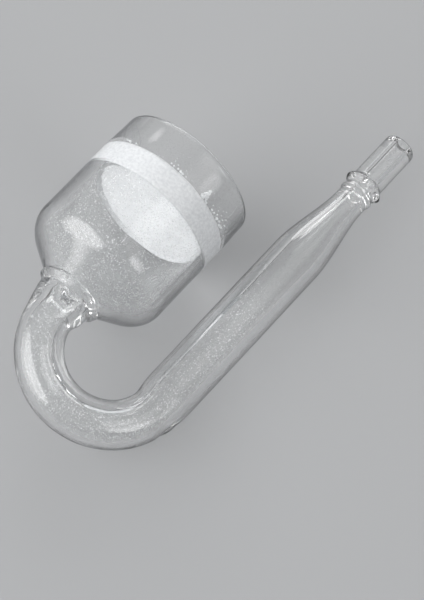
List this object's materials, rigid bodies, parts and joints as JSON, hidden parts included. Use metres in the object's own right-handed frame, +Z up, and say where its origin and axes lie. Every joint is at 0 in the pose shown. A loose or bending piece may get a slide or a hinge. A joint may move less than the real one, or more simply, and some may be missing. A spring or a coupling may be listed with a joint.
{
  "type": "carbon dioxide diffuser",
  "caption": "J-shaped clear glass carbon dioxide diffuser: wide cup with a white porous ceramic disc, bent tube, straight stem beside the cup and tapered nipple for a gas hose.",
  "frame": {"origin": "middle of the footprint, on the surface that the diffuser lies on", "axes": "+Y along the tubes, the way the cup's mouth and the hose nipple point; +X from the cup to the stem; +Z up from the surface it lies on"},
  "size_m": [0.039, 0.0804, 0.026],
  "materials": {
    "clear_glass": "clear borosilicate glass, fire polished",
    "porous_ceramic": "matt, fine-grained sintered white ceramic",
    "disc_bond": "milky translucent fused bond"
  },
  "bodies": {
    "root": {"diffuser_cup": "clear_glass", "ceramic_disc": "porous_ceramic", "disc_bond": "disc_bond", "neck_weld": "clear_glass", "j_bend_tube": "clear_glass", "stem_tube": "clear_glass", "stem_taper": "clear_glass", "taper_weld_ring": "clear_glass", "hose_stop_bead": "clear_glass", "hose_nipple": "clear_glass"}
  },
  "joints": []
}
